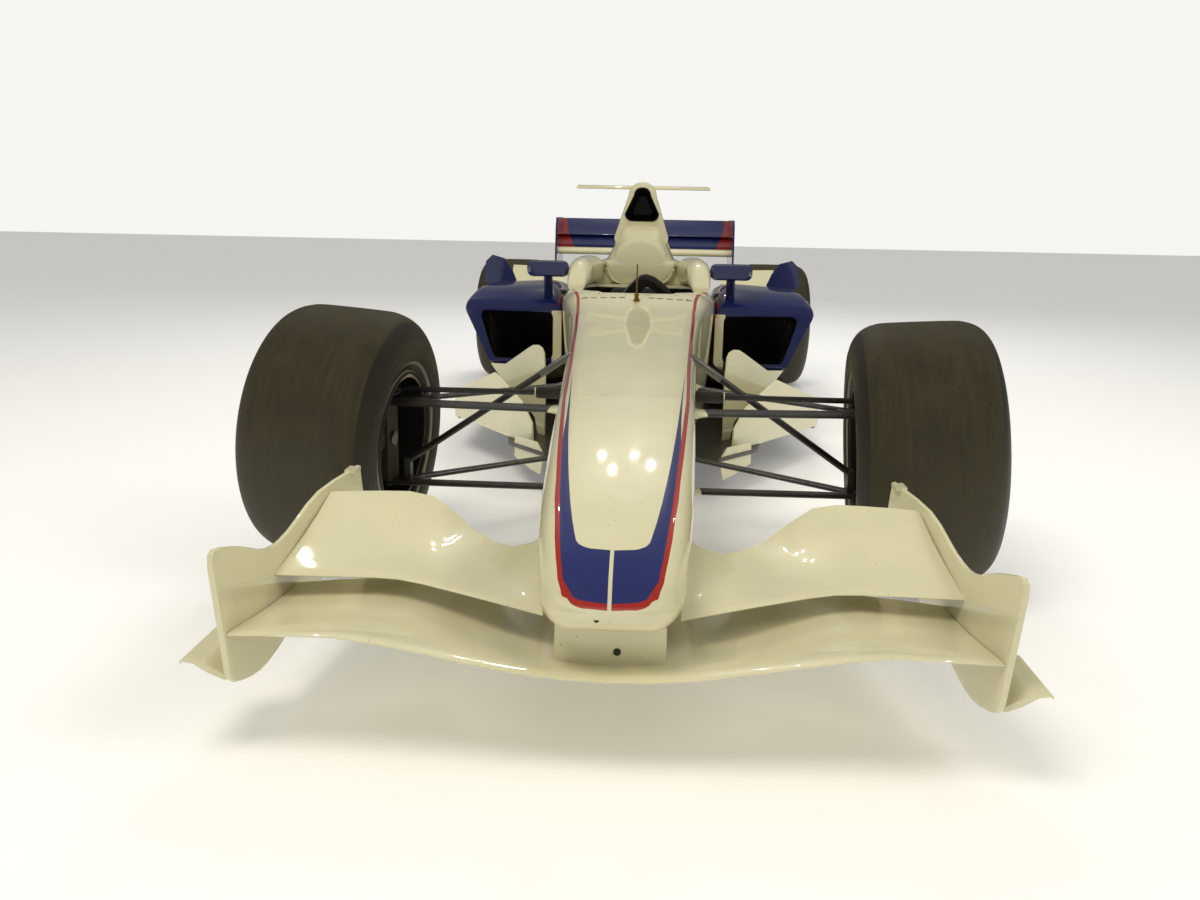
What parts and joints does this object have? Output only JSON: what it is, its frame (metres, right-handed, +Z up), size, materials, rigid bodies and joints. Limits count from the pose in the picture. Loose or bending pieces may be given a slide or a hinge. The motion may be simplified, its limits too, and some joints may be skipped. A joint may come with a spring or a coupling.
{
  "type": "open wheel racing car",
  "caption": "Single-seat open wheel racing car with wings, sidepods, an open cockpit and slick tyres; the wheels roll and the front pair steers.",
  "frame": {"origin": "centre of the overall box at road level, so the tyres stand on z = 0", "axes": "+Z up, -Y forward (the nose points along -Y), +X to the car's left"},
  "size_m": [1.8802, 4.67, 1.0379],
  "materials": {
    "body_paint": "cream-white gloss with navy and red stripes",
    "carbon": "dark carbon composite, satin",
    "alloy": "raw",
    "plank_wood": "resin-bonded wood",
    "blue_paint": "navy gloss",
    "brass": "bare",
    "red_lens": "red lens",
    "dark_metal": "dark coated metal",
    "steel": "machined",
    "tyre": "slick rubber",
    "rim_metal": "dark painted forged rim"
  },
  "bodies": {
    "chassis": {"monocoque": "body_paint", "nose_cone": "body_paint", "cockpit_surround": "body_paint", "seat": "carbon", "airbox": "body_paint", "engine_cover": "body_paint", "sidepod_left": "body_paint", "sidepod_right": "body_paint", "radiators": "alloy", "floor": "carbon", "plank": "plank_wood", "diffuser": "carbon", "bargeboards": "body_paint", "mirrors": "blue_paint", "sidepod_winglets": "blue_paint", "rear_flicks": "body_paint", "mid_wing": "body_paint", "pitot_tube": "brass", "front_wing_main": "body_paint", "front_wing_flap": "blue_paint", "front_wing_endplates": "body_paint", "rear_wing_main": "blue_paint", "rear_wing_flap": "blue_paint", "rear_wing_endplates": "blue_paint", "beam_wing": "blue_paint", "crash_structure": "carbon", "rain_light": "red_lens", "engine": "alloy", "gearbox": "dark_metal", "exhausts": "steel", "front_wishbones_upper": "carbon", "front_wishbones_lower": "carbon", "front_pushrods": "carbon", "rear_wishbones_upper": "carbon", "rear_wishbones_lower": "carbon", "rear_links": "carbon", "rear_uprights": "dark_metal"},
    "knuckle_left": {"upright_front_left": "dark_metal"},
    "knuckle_right": {"upright_front_right": "dark_metal"},
    "wheel_front_left": {"tyre_front_left": "tyre", "rim_front_left": "rim_metal", "hub_front_left": "steel"},
    "wheel_front_right": {"tyre_front_right": "tyre", "rim_front_right": "rim_metal", "hub_front_right": "steel"},
    "wheel_rear_left": {"tyre_rear_left": "tyre", "rim_rear_left": "rim_metal", "hub_rear_left": "steel"},
    "wheel_rear_right": {"tyre_rear_right": "tyre", "rim_rear_right": "rim_metal", "hub_rear_right": "steel"},
    "rack": {"steering_rack": "dark_metal"},
    "steering": {"steering_wheel": "carbon"}
  },
  "joints": [
    {"name": "knuckle_left_steer", "type": "hinge", "parent": "chassis", "child": "knuckle_left", "pos_m": [0.63, -1.27, 0.31], "axis": [0, 0, 1], "range_deg": [-9.5, 22.5]},
    {"name": "knuckle_right_steer", "type": "hinge", "parent": "chassis", "child": "knuckle_right", "pos_m": [-0.63, -1.27, 0.31], "axis": [0, 0, 1], "range_deg": [-9.6, 22.6]},
    {"name": "rack_slide", "type": "slide", "parent": "chassis", "child": "rack", "axis": [1, 0, 0], "range_m": [-0.0314, 0.0136]},
    {"name": "steering_wheel_turn", "type": "hinge", "parent": "chassis", "child": "steering", "pos_m": [0, -0.175, 0.569], "axis": [0, 0.9703, 0.2419], "range_deg": [-77, 181]},
    {"name": "wheel_front_left_spin", "type": "hinge", "parent": "knuckle_left", "child": "wheel_front_left", "pos_m": [0.73929, -1.28245, 0.33208], "axis": [0.9912, -0.1129, 0.0698], "continuous": true},
    {"name": "wheel_front_right_spin", "type": "hinge", "parent": "knuckle_right", "child": "wheel_front_right", "pos_m": [-0.73929, -1.25755, 0.33208], "axis": [0.9912, -0.1129, -0.0698], "continuous": true},
    {"name": "wheel_rear_left_spin", "type": "hinge", "parent": "chassis", "child": "wheel_rear_left", "pos_m": [0.705, 1.86, 0.328], "axis": [1, 0, 0], "continuous": true},
    {"name": "wheel_rear_right_spin", "type": "hinge", "parent": "chassis", "child": "wheel_rear_right", "pos_m": [-0.705, 1.86, 0.328], "axis": [1, 0, 0], "continuous": true}
  ],
  "couplings": [
    {"joint": "knuckle_right_steer", "follows": "knuckle_left_steer", "ratio": 1},
    {"joint": "rack_slide", "follows": "knuckle_left_steer", "m_per_rad": -0.0788},
    {"joint": "steering_wheel_turn", "follows": "knuckle_left_steer", "ratio": 8}
  ]
}
